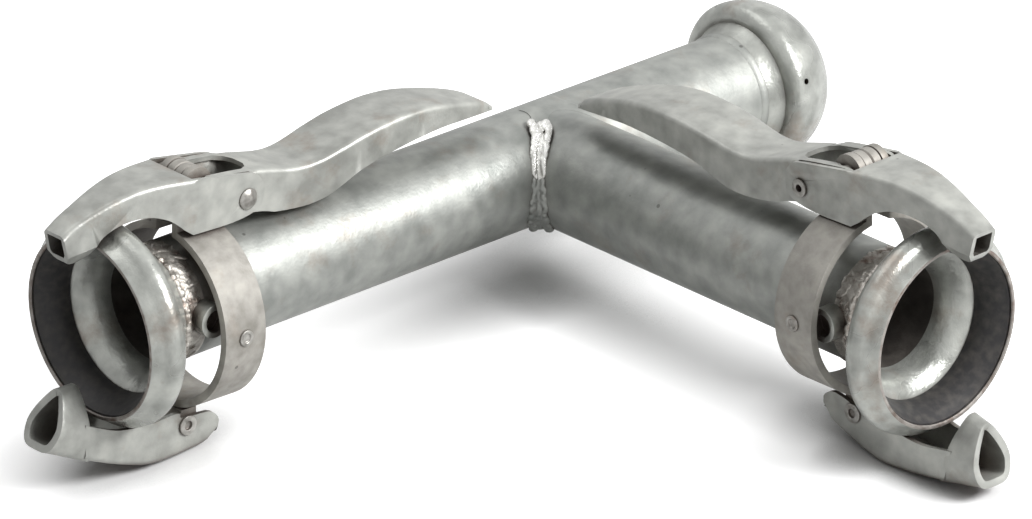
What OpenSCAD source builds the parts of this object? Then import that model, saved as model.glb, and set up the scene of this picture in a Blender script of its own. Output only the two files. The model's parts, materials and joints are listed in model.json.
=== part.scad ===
// Galvanised pipe tee: a run tube with a branch tube of the same size, a lever-ring socket on two ends
// and a hollow ball on the third. Frame: the tube axes cross at the origin, run along X with its socket
// at -X and the ball at +X, branch along -Y, +Z up. All sizes in millimetres.

/* [Tube] */
// outside diameter of the steel tube
pipe_d = 76.1; // [60:0.1:114.3]
// wall of the tube
pipe_wall = 3.2; // [2:0.1:6]
// from the crossing of the axes to the opening edge of the run socket
run_reach = 377.8; // [300:0.1:500]
// from the crossing of the axes to the opening edge of the branch socket
branch_reach = 365.2; // [300:0.1:500]
// from the crossing of the axes to the widest ring of the ball
ball_reach = 184.5; // [150:0.1:260]

/* [Socket cup] */
// how far the opening edge of the cup stands out from the tube
mouth_flare = 21.95; // [18:0.05:26]
// radius of the bulge section
bulge_r = 8.7; // [5:0.1:14]
// distance of the bulge behind the opening edge
bulge_s = 16; // [10:0.5:25]
// sheet of the pressed cup
cup_wall = 3; // [2:0.1:5]
// length of the cup from its edge to the weld on the tube
cup_len = 46; // [36:0.5:60]
// length of the rubber seal behind the edge
seal_len = 21; // [12:0.5:24]
// how far the rubber seal stands in from the opening edge
seal_depth = 11.5; // [9:0.1:14]

/* [Neck bosses] */
// outside diameter of the round boss on each side of the neck
boss_d = 22; // [14:0.5:30]
// bore of the boss
boss_bore_d = 14.5; // [6:0.5:22]
// distance of the bosses behind the opening edge
boss_s = 61; // [56:0.5:75]
// how far the bosses stand out from the tube
boss_rise = 9.95; // [6:0.05:12]

/* [Lever ring] */
// clear gap between the tube and the flat-bar ring
ring_gap = 16.95; // [15:0.05:22]
// thickness of the flat bar
bar_t = 5; // [3:0.1:8]
// width of the flat bar
bar_w = 32; // [20:0.5:45]
// height of the lug pin above the outside of the ring
pin_rise = 26.5; // [24:0.5:32]
// radius of the rounded lug ends
lug_r = 11.5; // [9:0.5:16]
// distance between the two lugs
lug_gap = 15; // [8:0.5:20]
// lug pin diameter
lug_pin_d = 10; // [6:0.5:14]
// rivet diameter of both hooks
rivet_d = 9; // [6:0.5:12]
// rivet head diameter
head_d = 14; // [10:0.5:20]
// side pin diameter
side_pin_d = 8; // [5:0.5:12]

/* [Lever and hooks] */
// sheet of the lever and hooks
sheet = 3; // [2:0.1:5]
// half width of the lever at its pivots
lever_half = 19.3; // [15:0.1:26]
// half width of the lever across the grip
grip_half = 22.5; // [16:0.1:32]
// half width of the upper hook at its rivet
hook_half = 23.2; // [18:0.1:32]
// half width of the upper hook at its open end
nose_half = 9.6; // [7:0.1:16]
// half width of the lower hook at its rivet
low_half = 21; // [16:0.1:30]
// half width of the lower hook at its open end
low_nose_half = 14; // [8:0.1:22]

/* [How the run socket's ring hangs] */
// ring centre behind the opening edge
run_ring_s = 75; // [70:0.5:90]
// ring centre above the tube axis
run_ring_z = -9.5; // [-12:0.5:6]
// lean of the ring toward the tee
run_ring_lean = 2; // [-4:0.5:6]
// lever turned down about the lug pin
run_lever_turn = 0; // [-2:0.5:4]
// hook nose turned up about its rivet
run_hook_turn = 2; // [0:0.5:4]
// lower hook turned down about its rivet
run_low_turn = -2.5; // [-3:0.5:16]

/* [How the branch socket's ring hangs] */
// ring centre behind the opening edge
branch_ring_s = 74; // [70:0.5:90]
// ring centre above the tube axis
branch_ring_z = 3; // [-12:0.5:6]
// lean of the ring toward the tee
branch_ring_lean = 1; // [-4:0.5:6]
// lever turned down about the lug pin
branch_lever_turn = 3; // [-2:0.5:4]
// hook nose turned up about its rivet
branch_hook_turn = 1; // [0:0.5:4]
// lower hook turned down about its rivet
branch_low_turn = 14; // [-3:0.5:16]

/* [Hidden] */
$fn = 96;
pipe_r = pipe_d / 2;
bore_r = pipe_r - pipe_wall;
lip_r = pipe_r + mouth_flare;
bulge_path_r = lip_r - 0.3;
seal_r = lip_r - seal_depth;
boss_reach = pipe_r + boss_rise;
ring_r = pipe_r + ring_gap + bar_t;
pin_h = ring_r + pin_rise;
cope_gap = 0.05;
seat_gap = 0.3;
// the weld on the neck ends this far before the bosses
weld_end_gap = 0.2;
// running clearance of every pin and rivet
run_fit = 0.1;
// gap between plates that turn side by side
side_fit = 0.35;
weld_rise = 2;
weld_leg = 3.4;
ball_r = pipe_r + 17.65;
dome_r = 46;
bead_r = 8.5;
ball_nose = 37.5;
ball_neck = 20;
vent_d = 4;
rivet_x = 31.6;
rivet_z = -15.6;
low_x = -14;
low_z = -ring_r - 8.5;

// one list for each socket: reach, ring s, ring z, lean, lever turn, hook turn, lower turn
RUN = [run_reach, run_ring_s, run_ring_z, run_ring_lean, run_lever_turn, run_hook_turn, run_low_turn];
BRANCH = [branch_reach, branch_ring_s, branch_ring_z, branch_ring_lean, branch_lever_turn,
          branch_hook_turn, branch_low_turn];

// placing
module along_x() { rotate([0, 90, 0]) children(); }
module along_y() { rotate([90, 0, 0]) children(); }
module at_run() { translate([-run_reach, 0, 0]) children(); }
module at_branch() { rotate([0, 0, 90]) translate([-branch_reach, 0, 0]) children(); }
module in_ring(S) { translate([S[1], 0, S[2]]) rotate([0, S[3], 0]) children(); }
module at_lug_pin(S) {
    translate([S[1] + pin_h * sin(S[3]), 0, S[2] + pin_h * cos(S[3])]) rotate([0, S[4], 0]) children();
}
module at_hook_rivet(S) {
    at_lug_pin(S) translate([rivet_x, 0, rivet_z]) rotate([0, S[5] - S[4], 0]) children();
}
module at_low_rivet(S) {
    in_ring(S) translate([low_x, 0, low_z]) rotate([0, -S[6] - S[3], 0]) children();
}
// a turned shape about the socket axis, drawn as [distance behind the edge, radius]
module turned() { rotate([0, 90, 0]) rotate_extrude() rotate(90) mirror([0, 1]) children(); }
// a pin along Y, centred
module pin_y(d, len) { along_y() cylinder(d = d, h = len, center = true); }
// a smooth curve through points, three short steps to each stretch
function between(a, b, c, d, t) = 0.5 * (2 * b + (c - a) * t + (2 * a - 5 * b + 4 * c - d) * t * t
                                         + (3 * b - a - 3 * c + d) * t * t * t);
function curve(p, steps = 3) = concat([for (i = [0:len(p) - 2]) for (k = [0:steps - 1])
    between(p[max(i - 1, 0)], p[i], p[i + 1], p[min(i + 2, len(p) - 1)], k / steps)], [p[len(p) - 1]]);
// a side outline [x, z] made solid across the width
module slab(points, half) {
    translate([0, half, 0]) rotate([90, 0, 0]) linear_extrude(2 * half) polygon(points);
}
// a plan outline made of [x, half width] pairs, mirrored and made solid in height
module plan(pairs, low, high) {
    n = len(pairs);
    translate([0, 0, low]) linear_extrude(high - low)
        polygon(concat(pairs, [for (i = [n - 1:-1:0]) [pairs[i][0], -pairs[i][1]]]));
}
// a cross section [y, z] run along X from a to b
module bar_x(points, a, b) {
    translate([a, 0, 0]) rotate([90, 0, 90]) linear_extrude(b - a) polygon(points);
}

// tubes
module run_pipe() {
    color("#a9aea9") difference() {
        translate([-run_reach + cup_len, 0, 0]) along_x()
            cylinder(r = pipe_r, h = run_reach - cup_len + ball_reach - ball_neck);
        translate([-run_reach, 0, 0]) along_x() cylinder(r = bore_r, h = run_reach + ball_reach);
        translate([0, -pipe_r - 10, 0]) rotate([-90, 0, 0]) cylinder(r = bore_r, h = pipe_r + 10);
    }
}
module branch_pipe() {
    color("#9ba19e") difference() {
        translate([0, -branch_reach + cup_len, 0]) rotate([-90, 0, 0])
            cylinder(r = pipe_r, h = branch_reach - cup_len);
        translate([0, -branch_reach, 0]) rotate([-90, 0, 0]) cylinder(r = bore_r, h = branch_reach + 10);
        translate([-60, 0, 0]) along_x() cylinder(r = pipe_r + cope_gap, h = 120);
    }
}
module junction_weld() {
    color("#c4c8c4") difference() {
        intersection() {
            translate([-60, 0, 0]) along_x() cylinder(r = pipe_r + weld_rise, h = 120);
            translate([0, 5, 0]) along_y() cylinder(r = pipe_r + weld_leg, h = 60);
        }
        translate([-61, 0, 0]) along_x() cylinder(r = pipe_r + seat_gap, h = 122);
        translate([0, 10, 0]) along_y() cylinder(r = pipe_r + cope_gap, h = 80);
    }
}

// ball end, drawn in [x from the widest ring, radius]
module dome(r, a, b, from) {
    turned() intersection() {
        translate([0, ball_r - dome_r]) circle(r = r);
        translate([a, from]) square([b - a, ball_r]);
    }
}
module male_ball() {
    color("#a3a8a4") difference() {
        translate([ball_reach, 0, 0]) difference() {
            union() {
                dome(dome_r, 0, ball_nose, bore_r - 2);
                turned() translate([0, ball_r - bead_r]) circle(r = bead_r);
                turned() polygon([[-ball_neck, pipe_r], [-13, pipe_r + 2.5], [-7, pipe_r + 6.2],
                                  [2, pipe_r + 7], [2, bore_r - 2], [-ball_neck, bore_r - 2]]);
            }
            translate([-ball_neck - 5, 0, 0]) along_x() cylinder(r = bore_r, h = 80);
            dome(dome_r - cup_wall, 1, ball_nose - 6, bore_r + cup_wall);
        }
        rotate([-18, 0, 0]) translate([ball_reach + 2, -ball_r - 5, 0]) rotate([-90, 0, 0])
            cylinder(d = vent_d, h = 12, $fn = 24);
    }
}
module male_weld() {
    color("#8e8a84") translate([ball_reach - ball_neck, 0, 0]) turned()
        polygon([[-4, pipe_r], [-2.5, pipe_r + 1], [0, pipe_r + 1.4], [1.5, pipe_r + 1.2],
                 [1.5, pipe_r + 0.56], [0, pipe_r]]);
}

// socket: the seat is the hollow of the mouth, drawn as [distance behind the edge, radius]
module seat() {
    turned() translate([bulge_s, bulge_path_r]) circle(r = bulge_r - cup_wall);
    turned() polygon([[-1, lip_r - cup_wall - 0.4], [1.5, lip_r - cup_wall + 0.4], [7, lip_r - 0.8],
                      [10.6, lip_r + 0.6], [21.4, lip_r + 0.6], [24.5, lip_r - 2.5], [24.5, 40], [-1, 40]]);
}
// outer and inner radius of the cup between the tube (0) and the bulge (1)
function shoulder(share) = pipe_r + share * mouth_flare;
function throat(share) = bore_r + share * (lip_r - 10.4 - bore_r);
module cup() {
    color("#a6aba6") difference() {
        union() {
            turned() translate([bulge_s, bulge_path_r]) circle(r = bulge_r);
            turned() polygon([[0, lip_r], [6, lip_r + 2.2], [9.5, bulge_path_r + 5.4],
                              [24, bulge_path_r + 2.4], [28, shoulder(0.81)], [33, shoulder(0.54)],
                              [40, shoulder(0.25)], [cup_len, pipe_r + 1.2], [cup_len, bore_r],
                              [40, throat(0.13)], [34, throat(0.44)], [29, throat(0.74)],
                              [24.5, throat(1)], [24, throat(1.03)], [0, throat(1.03)]]);
        }
        seat();
    }
}
module seal() {
    color("#3a3838") intersection() {
        seat();
        turned() polygon([[2.2, 80], [2.2, lip_r - 3.6], [4, lip_r - 4.6], [9, seal_r + 4], [16, seal_r + 1],
                 [seal_len, seal_r], [24.5, seal_r], [24.5, 80]]);
    }
}
module cup_weld() {
    color("#b9b4ac") turned()
        polygon([[42, pipe_r + 4.12], [43.5, pipe_r + 5.3], [46.5, pipe_r + 5.1], [48.5, pipe_r + 3.3],
                 [boss_s - boss_d / 2 - weld_end_gap, pipe_r], [cup_len, pipe_r], [cup_len, pipe_r + 1.2]]);
}
module bosses() {
    color("#a3a8a4") for (k = [-1, 1]) difference() {
        translate([boss_s, k * (pipe_r - 6) + (k > 0 ? boss_reach - pipe_r + 6 : 0), 2]) along_y()
            cylinder(d = boss_d, h = boss_reach - pipe_r + 6);
        translate([boss_s, k * (boss_reach - 7) + (k > 0 ? 9 : 0), 2]) along_y()
            cylinder(d = boss_bore_d, h = 9);
        translate([boss_s - 20, 0, 0]) along_x() cylinder(r = pipe_r, h = 40);
    }
}

// lever ring
module lug() {
    // one upright lug with its rounded end and pin hole
    translate([0, bar_t / 2, 0]) along_y() linear_extrude(bar_t) difference() {
        union() {
            translate([0, pin_h]) circle(r = lug_r);
            polygon([[-bar_w / 2, ring_r - 4.5], [-bar_w / 2, ring_r + 3], [-lug_r, pin_h - 3],
                     [lug_r, pin_h - 3], [bar_w / 2, ring_r + 3], [bar_w / 2, ring_r - 4.5]]);
        }
        translate([0, pin_h]) circle(d = lug_pin_d + run_fit);
    }
}
module band(S) {
    color("#aaa69e") in_ring(S) difference() {
        union() {
            translate([-bar_w / 2, 0, 0]) along_x() difference() {
                cylinder(r = ring_r, h = bar_w);
                translate([0, 0, -1]) cylinder(r = ring_r - bar_t, h = bar_w + 2);
                translate([-ring_r - 5, -lug_gap / 2, -1]) cube([20, lug_gap, bar_w + 2]);
            }
            for (k = [-1, 1]) translate([0, k * (lug_gap + bar_t) / 2, 0]) lug();
            // knuckle that carries the lower hook
            difference() {
                union() {
                    translate([low_x, 0, low_z]) pin_y(15, 2 * (low_half - sheet - side_fit));
                    translate([low_x - 2, -low_half + sheet + side_fit, -ring_r - 6.5])
                        cube([12, 2 * (low_half - sheet - side_fit), 7]);
                }
                translate([-bar_w, 0, 0]) along_x() cylinder(r = ring_r - bar_t / 2, h = 2 * bar_w);
            }
        }
        translate([low_x, 0, low_z]) pin_y(rivet_d + run_fit, 80);
        pin_y(side_pin_d, 3 * ring_r);
    }
}
module side_pins(S) {
    color("#b3b0a8") in_ring(S) for (k = [-1, 1]) scale([1, k, 1]) rotate([90, 0, 0]) {
        translate([0, 0, boss_reach + 2]) cylinder(d = side_pin_d, h = ring_r - boss_reach - 1.4);
        translate([0, 0, ring_r - 0.6]) cylinder(d = side_pin_d + 2.4, h = 1.8);
    }
}
module spacer(S) {
    color("#9c9a95") at_lug_pin(S) difference() {
        pin_y(2 * lug_r - 0.6, lug_gap - 2 * run_fit);
        pin_y(lug_pin_d + run_fit, 40);
    }
}
module lug_pin(S) {
    color("#8f8d88") at_lug_pin(S) pin_y(lug_pin_d, 2 * lever_half);
}

// lever: folded open channel, side outline about the lug pin
lever_top = [[-12.5, -2], [-10.5, 3.5], [-4, 5.6], [10, 4.4], [30, 1.7], [45, -1], [57, -4], [70, -7.3], [82, -8.8],
             [95, -8], [112, -4.5], [130, -1], [148, 1], [165, 1.8], [187, 0], [213, -6], [235, -13],
             [246, -19.5], [250, -25]];
lever_low = [[243, -22], [225, -19.4], [195, -17], [172, -17.3], [154, -19], [140, -21], [127, -23.6],
             [117, -27], [108, -30.6], [98, -34], [84, -35.8], [70, -35], [57, -33], [46, -29.5],
             [30, -26.4], [15, -23.4], [2, -18.5], [-8, -11]];
lever_plan = [[-14, lever_half], [62, lever_half], [112, grip_half], [165, grip_half], [200, grip_half - 3],
              [225, grip_half - 6], [243, grip_half - 10.5], [249, grip_half - 15], [251, grip_half - 20]];
module lever(S) {
    color("#a7aaa4") at_lug_pin(S) difference() {
        intersection() {
            slab(concat(curve(lever_top), curve(lever_low)), 30);
            plan(curve(lever_plan), -60, 30);
        }
        intersection() {
            slab(concat([for (p = curve(lever_top)) if (p[0] > -5 && p[0] < 240) [p[0], p[1] - sheet]],
                        [[243.5, -21], [243.5, -60], [-4, -60]]), 30);
            plan([for (p = curve(lever_plan)) if (p[0] < 240) [p[0], p[1] - sheet]], -60, 30);
        }
        // open front between the cheeks, and the window behind it
        plan([[-20, lever_half - sheet], [2, lever_half - sheet], [6, lever_half - sheet - 2.5],
              [34, lever_half - sheet - 2.5], [40, lever_half - sheet - 6], [43, 5]], -60, 30);
        pin_y(lug_pin_d, 80);
        translate([rivet_x, 0, rivet_z]) pin_y(rivet_d + run_fit, 80);
    }
}

// upper hook: folded tapered channel, side outline about its rivet
hook_top = [[-135.5, 6.2], [-127, 11], [-117, 15], [-106, 18.8], [-95, 22], [-83, 24.3], [-71, 25.2],
            [-58, 25], [-43, 23.8]];
hook_rear = [[-21, 20.2], [3.5, 16], [10, 12], [13.2, 5.5], [12.2, -3], [6.8, -9.3], [-12, -12.6],
             [-43.5, -12.5]];
hook_low = [[-49, -8.6], [-54.5, -3.8], [-61, 0.8], [-71, 4.8], [-80, 6.2], [-90, 5.7], [-99, 3.6],
            [-107, -0.5], [-111, -5], [-113, -9], [-116, -13], [-122, -15.6], [-128.5, -14.5], [-132, -9]];
hook_plan = [[-140, nose_half - 0.3], [-116, nose_half + 2], [-43, hook_half - 0.4], [16, hook_half]];
module hook(S) {
    color("#a8a6a0") at_hook_rivet(S) difference() {
        intersection() {
            slab(concat(curve(hook_top), curve(hook_rear), curve(hook_low)), 30);
            plan(hook_plan, -30, 40);
            // the nose narrows toward its bottom
            union() {
                bar_x([[-40, -30], [-40, 40], [40, 40], [40, -30]], -108, 30);
                bar_x([[-14, -3], [-9, -10], [-4, -16], [4, -16], [9, -10], [14, -3], [14, 40],
                       [-14, 40]], -140, -107);
            }
        }
        // hollow of the channel, open below
        intersection() {
            slab(concat([for (p = curve(hook_top)) [p[0], p[1] - sheet]], [[20, 20.5], [20, -40], [-108, -40],
                        [-108, 0], [-112, -4], [-116, -9], [-122, -12], [-128, -11.4], [-135, -8], [-145, -8],
                        [-145, 1]]), 30);
            plan([for (p = hook_plan) [p[0], p[1] - sheet]], -40, 40);
            union() {
                bar_x([[-40, -40], [-40, 40], [40, 40], [40, -40]], -108.5, 30);
                bar_x([[-10.5, -1], [-6, -9], [-2, -12.5], [2, -12.5], [6, -9], [10.5, -1], [10.5, 40],
                       [-10.5, 40]], -146, -108);
            }
        }
        // above the lever the side plates stand free
        plan([[-43, hook_half - 0.4 - sheet], [20, hook_half - sheet]], -30, 40);
        pin_y(rivet_d, 80);
    }
}
module hook_rivet(S) {
    color("#b2b3ae") at_hook_rivet(S) {
        difference() {
            union() {
                pin_y(rivet_d, 2 * hook_half + 0.4);
                // round head on one side
                translate([0, -hook_half, 0]) along_y() rotate_extrude() intersection() {
                    translate([0, -6.6]) circle(d = 20);
                    square([head_d / 2, 10]);
                }
                // spread end on the other side
                translate([0, hook_half + 1.6, 0]) along_y() cylinder(d = head_d - 2.5, h = 1.6);
            }
            translate([0, hook_half + 3, 0]) along_y() cylinder(d = 5, h = 6);
        }
    }
}

// lower hook: deeper channel, open above, side outline about its rivet
low_top = [[-104, 10], [-103.5, 21], [-101, 34], [-96, 42], [-88, 44], [-79.5, 40.5], [-77, 36],
           [-80, 25], [-79, 20.5], [-66, 14.6], [-55, 10.6], [-44.3, 9], [-30, 8.6], [-21.7, 9], [-10, 10],
           [-6, 9], [-3.5, 5.5], [17, 4.4], [24, 0], [26, -4]];
low_bottom = [[25, -8], [18.5, -16], [2.5, -19], [-26, -20.2], [-50.6, -14.5], [-74.9, -5.7], [-96, 3]];
low_plan = [[-110, low_nose_half], [-78, low_nose_half + 1.5], [-30, low_half], [30, low_half]];
module lower_hook(S) {
    color("#a3a49f") at_low_rivet(S) difference() {
        intersection() {
            slab(concat(curve(low_top), curve(low_bottom)), 40);
            plan(low_plan, -30, 60);
            union() {
                bar_x([[-40, -40], [-40, 60], [40, 60], [40, -40]], -78, 40);
                bar_x([[-20, -40], [-20, 16], [-14, 28], [-8, 38], [-5, 45], [5, 45], [8, 38], [14, 28],
                       [20, 16], [20, -40]], -112, -77);
            }
        }
        intersection() {
            slab([[-115, 13.5], [-96, 6.2], [-74.9, -2.6], [-50.6, -11.4], [-26, -17], [2.5, -15.8], [30, -11],
                  [40, 60], [-77, 60], [-77, 30], [-81, 37.5], [-88, 41], [-115, 41]], 40);
            plan([for (p = low_plan) [p[0], p[1] - sheet]], -30, 70);
            union() {
                bar_x([[-40, -40], [-40, 80], [40, 80], [40, -40]], -78, 42);
                bar_x([[-20, -40], [-20, 10], [-10.5, 26], [-5, 36], [-2, 41], [2, 41], [5, 36], [10.5, 26],
                       [20, 10], [20, -40]], -116, -77.5);
            }
        }
        pin_y(rivet_d, 80);
    }
}
module lower_rivet(S) {
    color("#b2b3ae") at_low_rivet(S) {
        difference() {
            union() {
                pin_y(rivet_d, 2 * low_half + 0.4);
                for (k = [-1, 1]) translate([0, k * (low_half + 0.8), 0]) pin_y(head_d - 1, 1.6);
            }
            for (k = [-1, 1]) translate([0, k * (low_half + 1), 0]) pin_y(6, 3);
        }
    }
}

run_pipe();
branch_pipe();
junction_weld();
male_ball();
male_weld();
at_run() cup();  // run_cup
at_run() seal();  // run_seal
at_run() cup_weld();  // run_cup_weld
at_run() bosses();  // run_bosses
at_run() band(RUN);  // run_band
at_run() side_pins(RUN);  // run_side_pins
at_run() spacer(RUN);  // run_spacer
at_run() lug_pin(RUN);  // run_lug_pin
at_run() lever(RUN);  // run_lever
at_run() hook(RUN);  // run_hook
at_run() hook_rivet(RUN);  // run_hook_rivet
at_run() lower_hook(RUN);  // run_lower_hook
at_run() lower_rivet(RUN);  // run_lower_rivet
at_branch() cup();  // branch_cup
at_branch() seal();  // branch_seal
at_branch() cup_weld();  // branch_cup_weld
at_branch() bosses();  // branch_bosses
at_branch() band(BRANCH);  // branch_band
at_branch() side_pins(BRANCH);  // branch_side_pins
at_branch() spacer(BRANCH);  // branch_spacer
at_branch() lug_pin(BRANCH);  // branch_lug_pin
at_branch() lever(BRANCH);  // branch_lever
at_branch() hook(BRANCH);  // branch_hook
at_branch() hook_rivet(BRANCH);  // branch_hook_rivet
at_branch() lower_hook(BRANCH);  // branch_lower_hook
at_branch() lower_rivet(BRANCH);  // branch_lower_rivet
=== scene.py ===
# Galvanised pipe tee with two lever-ring sockets and a hollow ball end, dressed for a studio photograph.
# Everything is in metres in the frame of the solids: run tube along X, branch tube along -Y, +Z up.
import json
import math
import random

import bmesh
import bpy
from mathutils import Matrix, Vector


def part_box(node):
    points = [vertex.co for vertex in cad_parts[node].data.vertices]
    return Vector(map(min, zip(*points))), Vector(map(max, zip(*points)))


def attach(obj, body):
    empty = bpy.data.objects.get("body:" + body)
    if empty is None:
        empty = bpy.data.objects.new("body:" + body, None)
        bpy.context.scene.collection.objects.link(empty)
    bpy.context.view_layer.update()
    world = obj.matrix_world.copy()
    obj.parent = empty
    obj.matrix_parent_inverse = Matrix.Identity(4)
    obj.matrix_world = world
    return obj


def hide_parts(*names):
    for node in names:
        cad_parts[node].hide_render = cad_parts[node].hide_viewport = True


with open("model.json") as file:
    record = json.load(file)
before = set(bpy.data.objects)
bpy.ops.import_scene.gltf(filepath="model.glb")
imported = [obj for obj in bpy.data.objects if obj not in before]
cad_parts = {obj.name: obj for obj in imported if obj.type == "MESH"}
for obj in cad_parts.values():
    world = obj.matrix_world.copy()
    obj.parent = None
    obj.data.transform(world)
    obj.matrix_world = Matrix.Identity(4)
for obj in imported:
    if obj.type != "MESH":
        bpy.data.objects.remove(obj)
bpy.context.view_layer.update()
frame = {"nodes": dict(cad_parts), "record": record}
mm = 0.001
bodyOf = {node: body for body, nodes in frame["record"]["behaviour"]["bodies"].items() for node in nodes}
print("solids loaded:", len(frame["nodes"]))


# colours and nodes
def fromHex(code, alpha=1.0):
    parts = [int(code[i:i + 2], 16) / 255 for i in (1, 3, 5)]
    linear = [c / 12.92 if c <= 0.04045 else ((c + 0.055) / 1.055) ** 2.4 for c in parts]
    return (*linear, alpha)


def addNode(tree, kind, inputs=None, ramp=None, **settings):
    node = tree.nodes.new(kind)
    for name, value in settings.items():
        setattr(node, name, value)
    for name, value in (inputs or {}).items():
        if isinstance(value, bpy.types.NodeSocket):
            tree.links.new(value, node.inputs[name])
        else:
            node.inputs[name].default_value = value
    if ramp:
        stops = node.color_ramp.elements
        for stop, (place, colour) in zip(stops, (ramp[0], ramp[-1])):
            stop.position, stop.color = place, colour
        for place, colour in ramp[1:-1]:
            stops.new(place).color = colour
    return node


# zinc finishes: each dictionary is one finish that a user may change
tubeZinc = {  # hot-dip zinc on drawn tube: dull neutral grey, softly clouded, with a few dark pits
    "name": "hotDipZincTube", "base": "#9b9d99", "light": "#acaea9", "dark": "#898c88",
    "stain": "#85776a", "stainShare": 0.45, "metallic": 0.5, "roughness": 0.44, "grainMm": 13, "bumpMm": 0.10}
weldZinc = {  # zinc frozen over a weld: satin and lumpy, with brown flux and painted shade in the hollows
    "name": "hotDipZincWeld", "base": "#b9b5ae", "light": "#dad6cf", "dark": "#8c8178",
    "stain": "#7a5848", "stainShare": 0.75, "metallic": 0.7, "roughness": 0.30, "grainMm": 5, "bumpMm": 0.25}
puddleZinc = {  # zinc that froze last in the crotch: bright and glossy
    "name": "hotDipZincPuddle", "base": "#dededa", "light": "#f0f0ec", "dark": "#b9b8b2",
    "stain": "#8f8272", "stainShare": 0.2, "metallic": 0.75, "roughness": 0.2, "grainMm": 5, "bumpMm": 0.2}
pressedZinc = {  # hot-dip zinc on pressed sheet: smoother and brighter than the tube
    "name": "hotDipZincPressed", "base": "#a7a9a4", "light": "#bec0ba", "dark": "#8b8d88",
    "stain": "#7f6a5b", "stainShare": 0.5, "metallic": 0.55, "roughness": 0.28, "grainMm": 14, "bumpMm": 0.16}
barZinc = {  # hot-dip zinc on flat bar: matt warm grey, rubbed to beige in patches
    "name": "hotDipZincBar", "base": "#9d9a94", "light": "#aeaba4", "dark": "#8a8780",
    "stain": "#8f8172", "stainShare": 0.4, "metallic": 0.34, "roughness": 0.58, "grainMm": 9, "bumpMm": 0.10}
foldedZinc = {  # hot-dip zinc on folded sheet: matt grey, smeared and scuffed by hands
    "name": "hotDipZincFolded", "base": "#a7a8a3", "light": "#b8b9b3", "dark": "#93948f",
    "stain": "#897767", "stainShare": 0.45, "metallic": 0.36, "roughness": 0.42, "grainMm": 12, "bumpMm": 0.10}
rivetZinc = {  # zinc on a peened rivet: light and satin, darker in its hollow with dirt and painted shade
    "name": "hotDipZincRivet", "base": "#9f9d98", "light": "#b4b2ad", "dark": "#7f7c77",
    "stain": "#75665a", "stainShare": 0.5, "metallic": 0.6, "roughness": 0.36, "grainMm": 4, "bumpMm": 0.06}
lipStain = {  # bare lip of the cup where the zinc is thin: brown-grey, rusty in spots
    "name": "rustStainedLip", "base": "#8f8a85", "light": "#a5a09a", "dark": "#6b5d54",
    "stain": "#5b3f33", "stainShare": 0.8, "metallic": 0.4, "roughness": 0.45, "grainMm": 6, "bumpMm": 0.15}
boreZincPaintedShade = {  # inside of the tubes: dull, dirty zinc, painted dark as the shade where little light reaches
    "name": "dullZincBorePaintedShade", "base": "#4c4844", "light": "#5d5954", "dark": "#393532",
    "stain": "#40312a", "stainShare": 0.6, "metallic": 0.3, "roughness": 0.6, "grainMm": 12, "bumpMm": 0.1}


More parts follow.
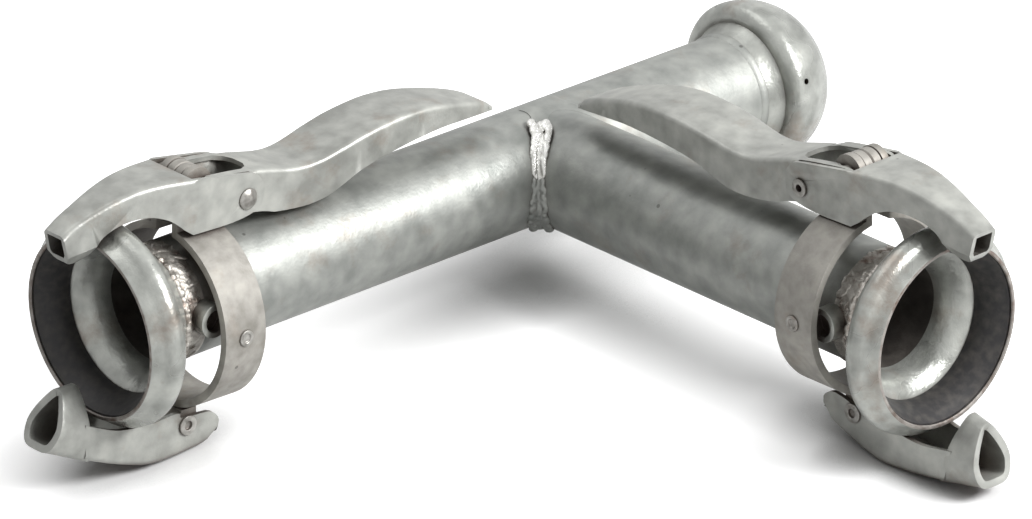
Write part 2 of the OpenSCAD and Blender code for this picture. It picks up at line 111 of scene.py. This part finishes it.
def zincMaterial(look):
    material = bpy.data.materials.new(look["name"])
    material.use_nodes = True
    tree = material.node_tree
    tree.nodes.clear()
    place = addNode(tree, "ShaderNodeTexCoord").outputs["Object"]
    grain = 1000 / look["grainMm"]
    cloud = addNode(tree, "ShaderNodeTexNoise", {"Vector": place, "Scale": grain / 4, "Detail": 3.0}).outputs["Fac"]
    mottle = addNode(tree, "ShaderNodeTexNoise",
                     {"Vector": place, "Scale": grain, "Detail": 4.0, "Roughness": 0.5}).outputs["Fac"]
    fine = addNode(tree, "ShaderNodeTexNoise",
                   {"Vector": place, "Scale": grain * 6, "Detail": 3.0, "Roughness": 0.6}).outputs["Fac"]
    blend = addNode(tree, "ShaderNodeMix", {"Factor": 0.45, "A": mottle, "B": cloud}).outputs["Result"]
    base = addNode(tree, "ShaderNodeValToRGB", {"Fac": blend},
                   ramp=[(0.34, fromHex(look["dark"])), (0.5, fromHex(look["base"])),
                         (0.66, fromHex(look["light"]))]).outputs["Color"]
    # warm staining in loose patches
    stainNoise = addNode(tree, "ShaderNodeTexNoise",
                         {"Vector": place, "Scale": grain / 3, "Detail": 5.0, "Roughness": 0.62, "Lacunarity": 2.3})
    stainAt = addNode(tree, "ShaderNodeMapRange", {"Value": stainNoise.outputs["Fac"], "From Min": 0.56,
                                                  "From Max": 0.72, "To Min": 0.0,
                                                  "To Max": look["stainShare"]}).outputs["Result"]
    stained = addNode(tree, "ShaderNodeMix", {"Factor": stainAt, 6: base, 7: fromHex(look["stain"])},
                      data_type="RGBA").outputs[2]
    # soot and flux left in corners and hollows, with painted shade: the colour turns dark brown wherever a point is
    # occluded
    cornerOcclusion = addNode(tree, "ShaderNodeAmbientOcclusion", {"Distance": 20 * mm}, samples=6).outputs["AO"]
    dirtAndShadeAt = addNode(tree, "ShaderNodeMapRange", {"Value": cornerOcclusion, "From Min": 0.82, "From Max": 0.2,
                                                 "To Min": 0.0, "To Max": 0.85}).outputs["Result"]
    dirtyAndShaded = addNode(tree, "ShaderNodeMix", {"Factor": dirtAndShadeAt, 6: stained, 7: fromHex("#4a3a32")},
                    data_type="RGBA").outputs[2]
    # a pit in about one cell of five, where the zinc didn't take
    cells = addNode(tree, "ShaderNodeTexVoronoi", {"Vector": place, "Scale": 1000 / 14, "Randomness": 1.0},
                    feature="F1")
    pitSize = addNode(tree, "ShaderNodeMapRange", {"Value": cells.outputs["Color"], "From Min": 0.6,
                                                  "From Max": 0.9, "To Min": 0.0, "To Max": 0.11}).outputs["Result"]
    pitEdge = addNode(tree, "ShaderNodeMath", {0: pitSize, 1: cells.outputs["Distance"]},
                      operation="SUBTRACT").outputs["Value"]
    pit = addNode(tree, "ShaderNodeMapRange", {"Value": pitEdge, "From Min": 0.0, "From Max": 0.03,
                                              "To Min": 0.0, "To Max": 0.6}).outputs["Result"]
    finished = addNode(tree, "ShaderNodeMix", {"Factor": pit, 6: dirtyAndShaded, 7: fromHex("#4c4a47")},
                       data_type="RGBA").outputs[2]
    gloss = addNode(tree, "ShaderNodeMapRange", {"Value": cloud, "From Min": 0.35, "From Max": 0.65,
                                                "To Min": look["roughness"] - 0.06,
                                                "To Max": look["roughness"] + 0.08}).outputs["Result"]
    relief = addNode(tree, "ShaderNodeMath", {0: fine, 1: 0.35, 2: mottle}, operation="MULTIPLY_ADD").outputs["Value"]
    bump = addNode(tree, "ShaderNodeBump", {"Height": relief, "Strength": 1.0,
                                            "Distance": look["bumpMm"] * 4 * mm}).outputs["Normal"]
    shader = addNode(tree, "ShaderNodeBsdfPrincipled",
                     {"Base Color": finished, "Metallic": look["metallic"], "Roughness": gloss, "Normal": bump})
    addNode(tree, "ShaderNodeOutputMaterial", {"Surface": shader.outputs["BSDF"]})
    return material


def rubberMaterial():
    # moulded rubber ring: charcoal, satin where wiped, dusty grey in patches
    look = {"base": "#2d2c2d", "dust": "#4a4744", "roughness": 0.52, "grainMm": 6}
    material = bpy.data.materials.new("mouldedRubberSeal")
    material.use_nodes = True
    tree = material.node_tree
    tree.nodes.clear()
    place = addNode(tree, "ShaderNodeTexCoord").outputs["Object"]
    dust = addNode(tree, "ShaderNodeTexNoise",
                   {"Vector": place, "Scale": 1000 / look["grainMm"], "Detail": 4.0}).outputs["Fac"]
    colour = addNode(tree, "ShaderNodeValToRGB", {"Fac": dust},
                     ramp=[(0.4, fromHex(look["base"])), (0.75, fromHex(look["dust"]))]).outputs["Color"]
    bump = addNode(tree, "ShaderNodeBump", {"Height": dust, "Distance": 0.05 * mm}).outputs["Normal"]
    shader = addNode(tree, "ShaderNodeBsdfPrincipled",
                     {"Base Color": colour, "Roughness": look["roughness"], "Normal": bump})
    addNode(tree, "ShaderNodeOutputMaterial", {"Surface": shader.outputs["BSDF"]})
    return material


tube, weld, puddle, pressed, bar, folded, rivet, lip, bore = [
    zincMaterial(look) for look in (tubeZinc, weldZinc, puddleZinc, pressedZinc, barZinc, foldedZinc, rivetZinc,
                                    lipStain, boreZincPaintedShade)]
rubber = rubberMaterial()
print("materials made")


# pieces
def copyOfNode(node):
    # a merged copy of a solid's mesh with its flat faces whole again
    shape = bmesh.new()
    shape.from_mesh(frame["nodes"][node].data)
    bmesh.ops.remove_doubles(shape, verts=shape.verts, dist=0.002 * mm)
    bmesh.ops.dissolve_limit(shape, angle_limit=math.radians(0.5), verts=shape.verts, edges=shape.edges,
                             delimit={"NORMAL"})
    return shape


def finishPiece(shape, name, body, materials, nodes=(), sharpAngle=34):
    for face in shape.faces:
        face.smooth = True
    for edge in shape.edges:
        edge.smooth = len(edge.link_faces) == 2 and edge.calc_face_angle(0) < math.radians(sharpAngle)
    mesh = bpy.data.meshes.new(name)
    shape.to_mesh(mesh)
    shape.free()
    piece = bpy.data.objects.new(name, mesh)
    bpy.context.scene.collection.objects.link(piece)
    for material in materials:
        mesh.materials.append(material)
    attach(piece, body)
    if nodes:
        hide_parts(*nodes)
    return piece


def softenEdges(shape, width, minAngle=40, segments=3):
    # rounds every edge that is sharper than minAngle
    sharp = [e for e in shape.edges if len(e.link_faces) == 2 and e.calc_face_angle(0) > math.radians(minAngle)]
    bmesh.ops.bevel(shape, geom=sharp, offset=width, offset_type="OFFSET", affect="EDGES", segments=segments,
                    profile=0.5, material=-1, clamp_overlap=True)


def roundFolds(shape, side, crown, radius):
    # rounds the outer edges where the sheet is folded from its crown into its side walls
    folds = []
    for edge in shape.edges:
        if len(edge.link_faces) != 2 or not edge.is_convex or edge.calc_face_angle(0) < math.radians(40):
            continue
        wall, top = sorted(edge.link_faces, key=lambda f: -abs(f.normal.dot(side)))
        across = [v.co.dot(side) for v in top.verts]
        if (abs(wall.normal.dot(side)) > 0.8 and abs(top.normal.dot(side)) < 0.5
                and top.normal.dot(crown) > 0.15 and max(across) - min(across) > 12 * mm):
            folds.append(edge)
    bmesh.ops.bevel(shape, geom=folds, offset=radius, offset_type="OFFSET", affect="EDGES", segments=5,
                    profile=0.5, material=-1, clamp_overlap=False)


def dimpleEnds(shape, side):
    # the peened end of each side pin is a ring round a hollow
    reach = max(abs(v.co.dot(side)) for v in shape.verts)
    ends = [f for f in shape.faces if abs(f.normal.dot(side)) > 0.99
            and abs(f.calc_center_median().dot(side)) > reach - 0.1 * mm]
    bmesh.ops.inset_individual(shape, faces=ends, thickness=2.0 * mm, depth=0)
    bmesh.ops.inset_individual(shape, faces=ends, thickness=0.5 * mm, depth=-1.1 * mm)


def addLump(shape, place, turn, size):
    # one frozen drop, an ellipsoid of half axes given in millimetres
    stretch = Matrix.Diagonal((*[s * mm for s in size], 1))
    bmesh.ops.create_icosphere(shape, subdivisions=2, radius=1,
                               matrix=Matrix.Translation(Vector(place) * mm) @ turn @ stretch)


def meltTogether(piece, voxelMm, rounds):
    # runs the drops of a piece into one skin
    remesh = piece.modifiers.new("melt", "REMESH")
    remesh.mode = "VOXEL"
    remesh.voxel_size = voxelMm * mm
    settle = piece.modifiers.new("settle", "SMOOTH")
    settle.iterations = rounds
    done = bpy.data.meshes.new_from_object(piece.evaluated_get(bpy.context.evaluated_depsgraph_get()))
    piece.modifiers.clear()
    old = piece.data
    piece.data = done
    bpy.data.meshes.remove(old)
    for face in done.polygons:
        face.use_smooth = True


sideOf = {"run": Vector((0, 1, 0)), "branch": Vector((1, 0, 0))}
socketAt = {
    "run": Matrix.Translation((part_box("run_cup")[0][0], 0, 0)),
    "branch": Matrix.Rotation(math.pi / 2, 4, "Z") @ Matrix.Translation((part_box("branch_cup")[0][1], 0, 0))}

edgeWidth = {"bosses": 1.2, "band": 0.9, "side_pins": 0.5, "spacer": 0.8, "lug_pin": 0.3, "lever": 0.7,
             "hook": 0.7, "hook_rivet": 0.5, "lower_hook": 0.7, "lower_rivet": 0.4}
foldRadius = {"lever": 3.4, "hook": 3.6, "lower_hook": 4.2}
finishOf = {"pipe": tube, "ball": pressed, "bosses": pressed, "band": bar, "side_pins": rivet, "spacer": rivet,
            "lug_pin": rivet, "lever": folded, "hook": folded, "hook_rivet": rivet, "lower_hook": folded,
            "lower_rivet": rivet, "seal": rubber, "weld": tube, "cup": pressed}
ownShape = ("run_cup", "branch_cup", "run_cup_weld", "branch_cup_weld", "run_spacer", "branch_spacer")
boreEdge = 36.4  # halfway through the wall of the tubes, in millimetres

# lower hook's nose: a folded shell with a slanting mouth, in millimetres about the lower rivet
nose = {
    "cut": -76.8, "start": -73.4, "end": -114, "low": -7.3, "rise": 0.41, "top": 41, "halfWidth": 16.1, "sheet": 4.8,
    "mouthTop": (-86, 41), "mouthLow": (-104, 6), "steps": 9, "around": 40,
    "run": {"ring": (75, -9.5), "lean": 2, "turn": -2.5},
    "branch": {"ring": (74, 3), "lean": 1, "turn": 14},
    "rivet": (-14, -68.5)}


def aboutY(degrees):
    return Matrix.Rotation(math.radians(degrees), 4, "Y")


def lowerRivetFrame(end):
    hang = nose[end]
    ringPlace = Matrix.Translation(Vector((hang["ring"][0], 0, hang["ring"][1])) * mm)
    rivetPlace = Matrix.Translation(Vector((nose["rivet"][0], 0, nose["rivet"][1])) * mm)
    return socketAt[end] @ ringPlace @ aboutY(hang["lean"]) @ rivetPlace @ aboutY(-hang["turn"] - hang["lean"])


def addNose(shape, end):
    hookFrame = lowerRivetFrame(end)
    cut = hookFrame @ Vector((nose["cut"] * mm, 0, 0))
    ahead = (hookFrame.to_3x3() @ Vector((-1, 0, 0))).normalized()
    bmesh.ops.bisect_plane(shape, geom=list(shape.verts) + list(shape.edges) + list(shape.faces),
                           plane_co=cut, plane_no=ahead, clear_outer=True)
    shell = bmesh.new()
    loops = []
    for i in range(nose["steps"] + 1):
        x = nose["start"] + (nose["end"] - nose["start"]) * i / nose["steps"]
        low = nose["low"] + nose["rise"] * (nose["start"] - x)
        made = bmesh.ops.create_circle(shell, segments=nose["around"], radius=1)["verts"]
        for vert in made:
            up = (vert.co.y + 1) / 2
            narrow = 1 - 0.55 * max(0, (up - 0.4) / 0.6) ** 1.5
            square = 0.1 + 0.4 * min(1, i / 6) if vert.co.y < 0 else 0.6
            side = math.copysign(abs(vert.co.x) ** square, vert.co.x)
            vert.co = Vector((x, side * nose["halfWidth"] * narrow, low + (nose["top"] - low) * up)) * mm
        loops.append([e for e in shell.edges if e.verts[0] in made and e.verts[1] in made])
        if i:
            bmesh.ops.bridge_loops(shell, edges=loops[i - 1] + loops[i])
    bmesh.ops.contextual_create(shell, geom=loops[0])
    (topX, topZ), (lowX, lowZ) = nose["mouthTop"], nose["mouthLow"]
    mouthOut = Vector((lowZ - topZ, 0, topX - lowX)).normalized()
    bmesh.ops.bisect_plane(shell, geom=list(shell.verts) + list(shell.edges) + list(shell.faces),
                           plane_co=Vector((topX, 0, topZ)) * mm, plane_no=mouthOut, clear_outer=True)
    bmesh.ops.recalc_face_normals(shell, faces=shell.faces)
    if sum(f.normal.z * (f.calc_center_median().z - 0.02) for f in shell.faces) < 0:
        bmesh.ops.reverse_faces(shell, faces=shell.faces)
    bmesh.ops.solidify(shell, geom=list(shell.faces), thickness=nose["sheet"] * mm)
    bmesh.ops.transform(shell, matrix=hookFrame, verts=shell.verts)
    joined = bpy.data.meshes.new("noseShell")
    shell.to_mesh(joined)
    shell.free()
    shape.from_mesh(joined)
    bpy.data.meshes.remove(joined)


def kindOf(node):
    names = [kind for kind in finishOf if node.endswith(kind)]
    return max(names, key=len)


for node in frame["nodes"]:
    if node in ownShape:
        continue
    kind = kindOf(node)
    shape = copyOfNode(node)
    if kind in foldRadius:
        crown = Vector((0, 0, -1 if kind == "lower_hook" else 1))
        roundFolds(shape, sideOf[node.split("_")[0]], crown, foldRadius[kind] * mm)
    if kind == "lower_hook":
        addNose(shape, node.split("_")[0])
    if kind == "side_pins":
        dimpleEnds(shape, sideOf[node.split("_")[0]])
    if kind in edgeWidth:
        softenEdges(shape, edgeWidth[kind] * mm)
    materials = [finishOf[kind]]
    # faces inside the tubes take the bore finish, painted dark as shade
    if kind == "pipe":
        along = Vector((0, 1, 0)) if node.startswith("branch") else Vector((1, 0, 0))
        for face in shape.faces:
            middle = face.calc_center_median()
            if (middle - along * middle.dot(along)).length < boreEdge * mm:
                face.material_index = 1
        materials.append(bore)
    finishPiece(shape, node + "_piece", bodyOf[node], materials, [node])
print("solids dressed")

# socket cup, turned from its own section: [distance behind the lip, radius] in millimetres
cupShape = {"lipR": 60.0, "bulgeS": 16.0, "bulgePathR": 59.7, "bulgeR": 8.7, "boreR": 34.85, "steps": 128}


def cupSection(c):
    lipR, bore = c["lipR"], c["boreR"]
    bulge = [(c["bulgeS"] + c["bulgeR"] * math.cos(math.radians(a)),
              c["bulgePathR"] + c["bulgeR"] * math.sin(math.radians(a))) for a in range(150, -1, -10)]
    outside = [(0.9, lipR - 2.9), (0.2, lipR - 2.4), (0, lipR - 1.4), (0.3, lipR - 0.4), (1.2, lipR + 0.3),
               (6, lipR + 2.2)]
    neck = [(25.6, 57.2), (28, 55.0), (30.5, 52.4), (33, 49.7), (36.5, 46.4), (40, 43.6), (43, 41.4), (46, 40.0)]
    throat = [(46, bore), (42, bore + 0.2), (37.5, bore + 1.5), (33.5, bore + 3.5), (30, bore + 6.2),
              (27.2, bore + 9.3), (25.2, bore + 12.6), (24.4, bore + 15.0)]
    seat = [(24.6, 57), (21.4, 60.6), (10.6, 60.6), (7, 59.2), (2, 57.6)]
    return outside + bulge + neck + throat + seat


for end, cupPlace in socketAt.items():
    shape = bmesh.new()
    ring = [shape.verts.new((s * mm, 0, r * mm)) for s, r in cupSection(cupShape)]
    rim = [shape.edges.new((ring[i - 1], ring[i])) for i in range(len(ring))]
    bmesh.ops.spin(shape, geom=ring + rim, cent=(0, 0, 0), axis=(1, 0, 0), angle=2 * math.pi,
                   steps=cupShape["steps"], use_merge=True)
    bmesh.ops.remove_doubles(shape, verts=shape.verts, dist=0.002 * mm)
    bmesh.ops.recalc_face_normals(shape, faces=shape.faces)
    for face in shape.faces:
        centre = face.calc_center_median()
        radius = math.hypot(centre.y, centre.z)
        if centre.x < 0.4 * mm or (centre.x < 3 * mm and radius < cupShape["lipR"] * mm - 1.6 * mm):
            face.material_index = 1
    bmesh.ops.transform(shape, matrix=cupPlace, verts=shape.verts)
    finishPiece(shape, end + "_cup_piece", bodyOf[end + "_cup"], [pressed, lip], [end + "_cup"])
print("cups turned")

# thin coat of run-down zinc on the neck between the cup and the ring, in the bright weld finish, which is also painted
# light on the shaded neck: [distance behind the lip, radius]
neckCoatPaintedLight = [(45, 37.9), (45, 38.3), (52, 38.5), (61, 38.35), (63, 37.9)]
for end, cupPlace in socketAt.items():
    shape = bmesh.new()
    ring = [shape.verts.new((s * mm, 0, r * mm)) for s, r in neckCoatPaintedLight]
    rim = [shape.edges.new((ring[i - 1], ring[i])) for i in range(len(ring))]
    bmesh.ops.spin(shape, geom=ring + rim, cent=(0, 0, 0), axis=(1, 0, 0), angle=2 * math.pi, steps=96,
                   use_merge=True)
    bmesh.ops.remove_doubles(shape, verts=shape.verts, dist=0.002 * mm)
    bmesh.ops.recalc_face_normals(shape, faces=shape.faces)
    bmesh.ops.transform(shape, matrix=cupPlace, verts=shape.verts)
    finishPiece(shape, end + "_neck_coat_painted_light", "tee", [weld])

# two thick discs on the lug pin, seen in the lever's window: [place along the pin, radius] in millimetres
discSection = [(-7.3, 5.1), (-7.3, 10.2), (-6.5, 11.1), (-1.0, 11.1), (0, 10.0), (1.0, 11.1), (6.5, 11.1), (7.3, 10.2),
               (7.3, 5.1)]
for end, side in sideOf.items():
    low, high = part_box(end + "_spacer")
    shape = bmesh.new()
    ring = [shape.verts.new(side * place * mm + Vector((0, 0, radius * mm))) for place, radius in discSection]
    rim = [shape.edges.new((ring[i - 1], ring[i])) for i in range(len(ring))]
    bmesh.ops.spin(shape, geom=ring + rim, cent=(0, 0, 0), axis=side, angle=2 * math.pi, steps=64, use_merge=True)
    bmesh.ops.remove_doubles(shape, verts=shape.verts, dist=0.002 * mm)
    bmesh.ops.recalc_face_normals(shape, faces=shape.faces)
    bmesh.ops.translate(shape, vec=(Vector(low) + Vector(high)) / 2, verts=shape.verts)
    finishPiece(shape, end + "_spacer_piece", bodyOf[end + "_spacer"], [bar], [end + "_spacer"])

# weld bead behind the cup and the zinc that ran down the neck, one frozen drop at a time
neckDrops = {"beads": 70, "beadS": 45.2, "beadR": 40.4, "runs": 110, "runFrom": 46.5, "runTo": 60, "tubeR": 38.05}
chance = random.Random(11)
for end, cupPlace in socketAt.items():
    shape = bmesh.new()
    for i in range(neckDrops["beads"]):
        turn = Matrix.Rotation(2 * math.pi * (i + chance.uniform(-0.3, 0.3)) / neckDrops["beads"], 4, "X")
        place = turn @ Vector((neckDrops["beadS"] + chance.uniform(-0.7, 0.7), neckDrops["beadR"], 0))
        addLump(shape, place, turn, (chance.uniform(2.2, 3.6), chance.uniform(1.3, 2.4), chance.uniform(2.4, 3.6)))
    for i in range(neckDrops["runs"]):
        turn = Matrix.Rotation(chance.uniform(0, 2 * math.pi), 4, "X")
        place = turn @ Vector((chance.uniform(neckDrops["runFrom"], neckDrops["runTo"]), neckDrops["tubeR"] + 0.2, 0))
        slant = Matrix.Rotation(chance.uniform(-1.1, 1.1), 4, "Y")
        addLump(shape, place, turn @ slant,
                (chance.uniform(3.0, 7.0), chance.uniform(0.5, 1.1), chance.uniform(1.4, 3.6)))
    bmesh.ops.transform(shape, matrix=cupPlace, verts=shape.verts)
    piece = finishPiece(shape, end + "_cup_weld_piece", bodyOf[end + "_cup_weld"], [weld], [end + "_cup_weld"])
    meltTogether(piece, 0.5, 2)
print("neck welds run")

# zinc frozen down the crotch of the two tubes, placed by its height on their crossing line, in millimetres
crotch = {"tubeR": 38.05, "drops": 3,
          "puddle": {"top": 33, "end": 8, "wide": 6.0, "narrow": 2.4, "long": 5.0, "thick": 1.5, "step": 1.6},
          "fill": {"top": 8, "end": -27, "wide": 3.4, "narrow": 6.4, "long": 3.4, "thick": 2.0, "step": 1.7}}


def crotchDrops(part):
    shape = bmesh.new()
    across = Vector((1, -1, 0)).normalized()
    height = part["top"]
    while height > part["end"]:
        share = (part["top"] - height) / (part["top"] - part["end"])
        half = part["wide"] + (part["narrow"] - part["wide"]) * share
        inset = math.sqrt(crotch["tubeR"] ** 2 - height ** 2)
        down = Vector((height / inset, height / inset, 1)).normalized()
        outward = across.cross(down)
        outward = outward if outward.x < 0 else -outward
        turn = Matrix((across, outward, down)).transposed().to_4x4()
        for i in range(crotch["drops"]):
            shift = half * (2 * i / (crotch["drops"] - 1) - 1) * chance.uniform(0.5, 1.05)
            place = Vector((-inset, -inset, height)) + across * shift + outward * (half * 0.55 + abs(shift) * 0.35)
            addLump(shape, place, turn, (chance.uniform(0.35, 0.5) * half + 0.6,
                                         part["thick"] * chance.uniform(0.8, 1.3),
                                         part["long"] * chance.uniform(0.7, 1.2)))
        height -= part["step"]
    return shape


piece = finishPiece(crotchDrops(crotch["puddle"]), "crotch_puddle", "tee", [puddle])
meltTogether(piece, 0.5, 4)
piece = finishPiece(crotchDrops(crotch["fill"]), "crotch_fill", "tee", [tube])
meltTogether(piece, 0.5, 5)
print("crotch filled")


# studio
def addLamp(name, place, target, size, power):
    lamp = bpy.data.lights.new(name, "AREA")
    lamp.shape = "RECTANGLE"
    lamp.size, lamp.size_y = size
    lamp.energy = power
    thing = bpy.data.objects.new(name, lamp)
    thing.location = place
    thing.rotation_euler = (Vector(target) - Vector(place)).to_track_quat("-Z", "Y").to_euler()
    bpy.context.scene.collection.objects.link(thing)


studio = {
    "keyPlace": (1.0, -2.4, 1.9), "keySize": (1.5, 1.2), "keyPower": 142,
    "topPlace": (-0.6, 0.8, 2.4), "topSize": (2.0, 1.6), "topPower": 14,
    "floorColour": "#e6e6e6", "floorGlow": 0.85, "floorGlossGlow": 0.2, "worldLevel": 0.17}

addLamp("keyLamp", studio["keyPlace"], (0, 0, 0), studio["keySize"], studio["keyPower"])
addLamp("topLamp", studio["topPlace"], (0, 0, 0), studio["topSize"], studio["topPower"])

# the part stands on its two lower hooks and the ball, so the floor passes under those three
lowPoints = []
for node in ("run_lower_hook", "branch_lower_hook", "male_ball"):
    corners = [v.co.copy() for v in frame["nodes"][node].data.vertices]
    lowPoints.append(min(corners, key=lambda p: p.z))
floorUp = (lowPoints[1] - lowPoints[0]).cross(lowPoints[2] - lowPoints[0]).normalized()
floorUp = floorUp if floorUp.z > 0 else -floorUp
floorMesh = bpy.data.meshes.new("floor")
ground = bmesh.new()
bmesh.ops.create_grid(ground, x_segments=1, y_segments=1, size=40)
floorTurn = floorUp.to_track_quat("Z", "Y").to_matrix().to_4x4()
bmesh.ops.transform(ground, matrix=Matrix.Translation(lowPoints[0] - floorUp * 0.3 * mm) @ floorTurn,
                    verts=ground.verts)
ground.to_mesh(floorMesh)
ground.free()
floor = bpy.data.objects.new("floor", floorMesh)
bpy.context.scene.collection.objects.link(floor)


def seenDirectly(tree, cameraLevel, glossLevel):
    # light for rays from the camera, a gloss or a clear body, so that metal shows the white studio too
    rays = addNode(tree, "ShaderNodeLightPath")
    gloss = addNode(tree, "ShaderNodeMath", {0: rays.outputs["Is Glossy Ray"], 1: rays.outputs["Is Transmission Ray"]},
                    operation="MAXIMUM").outputs["Value"]
    glossPart = addNode(tree, "ShaderNodeMath", {0: gloss, 1: glossLevel}, operation="MULTIPLY").outputs["Value"]
    return addNode(tree, "ShaderNodeMath", {0: rays.outputs["Is Camera Ray"], 1: cameraLevel, 2: glossPart},
                   operation="MULTIPLY_ADD").outputs["Value"]


# white paper floor: its glow fades close to the part, which paints contact shadows there on top of the cast shadows
paper = bpy.data.materials.new("whitePaper")
paper.use_nodes = True
tree = paper.node_tree
tree.nodes.clear()
floorOcclusion = addNode(tree, "ShaderNodeAmbientOcclusion", {"Distance": 65 * mm}, samples=8).outputs["AO"]
clearOfPaintedShadow = addNode(tree, "ShaderNodeMapRange", {"Value": floorOcclusion, "From Min": 0.5, "From Max": 0.99}).outputs["Result"]
seen = seenDirectly(tree, studio["floorGlow"], studio["floorGlossGlow"])
glowWithPaintedShadow = addNode(tree, "ShaderNodeMath", {0: seen, 1: clearOfPaintedShadow}, operation="MULTIPLY").outputs["Value"]
surface = addNode(tree, "ShaderNodeBsdfDiffuse", {"Color": fromHex(studio["floorColour"])}).outputs["BSDF"]
light = addNode(tree, "ShaderNodeEmission", {"Color": (1, 1, 1, 1), "Strength": glowWithPaintedShadow}).outputs["Emission"]
both = addNode(tree, "ShaderNodeAddShader", {0: surface, 1: light}).outputs["Shader"]
addNode(tree, "ShaderNodeOutputMaterial", {"Surface": both})
floorMesh.materials.append(paper)

world = bpy.data.worlds.new("studioWorld")
bpy.context.scene.world = world
world.use_nodes = True
tree = world.node_tree
tree.nodes.clear()
above = 1 - studio["worldLevel"]
level = addNode(tree, "ShaderNodeMath", {0: seenDirectly(tree, above, above), 1: studio["worldLevel"]},
                operation="ADD").outputs["Value"]
sky = addNode(tree, "ShaderNodeBackground", {"Color": (1, 1, 1, 1), "Strength": level})
addNode(tree, "ShaderNodeOutputWorld", {"Surface": sky.outputs["Background"]})

# camera where the photograph was taken from
view = {"place": (-2.8317, -3.0744, 1.8514), "elevation": 24.70, "azimuth": -42.41, "roll": -0.10, "lens": 247.0}
camera = bpy.data.objects.new("camera", bpy.data.cameras.new("camera"))
camera.data.lens = view["lens"]
camera.data.sensor_width = 36
camera.data.clip_end = 200
turn = (Matrix.Rotation(math.radians(view["azimuth"]), 4, "Z")
        @ Matrix.Rotation(math.radians(90 - view["elevation"]), 4, "X")
        @ Matrix.Rotation(math.radians(view["roll"]), 4, "Z"))
camera.matrix_world = Matrix.Translation(view["place"]) @ turn
bpy.context.scene.collection.objects.link(camera)
bpy.context.scene.camera = camera
bpy.context.scene.view_settings.view_transform = "Standard"
print("studio set")
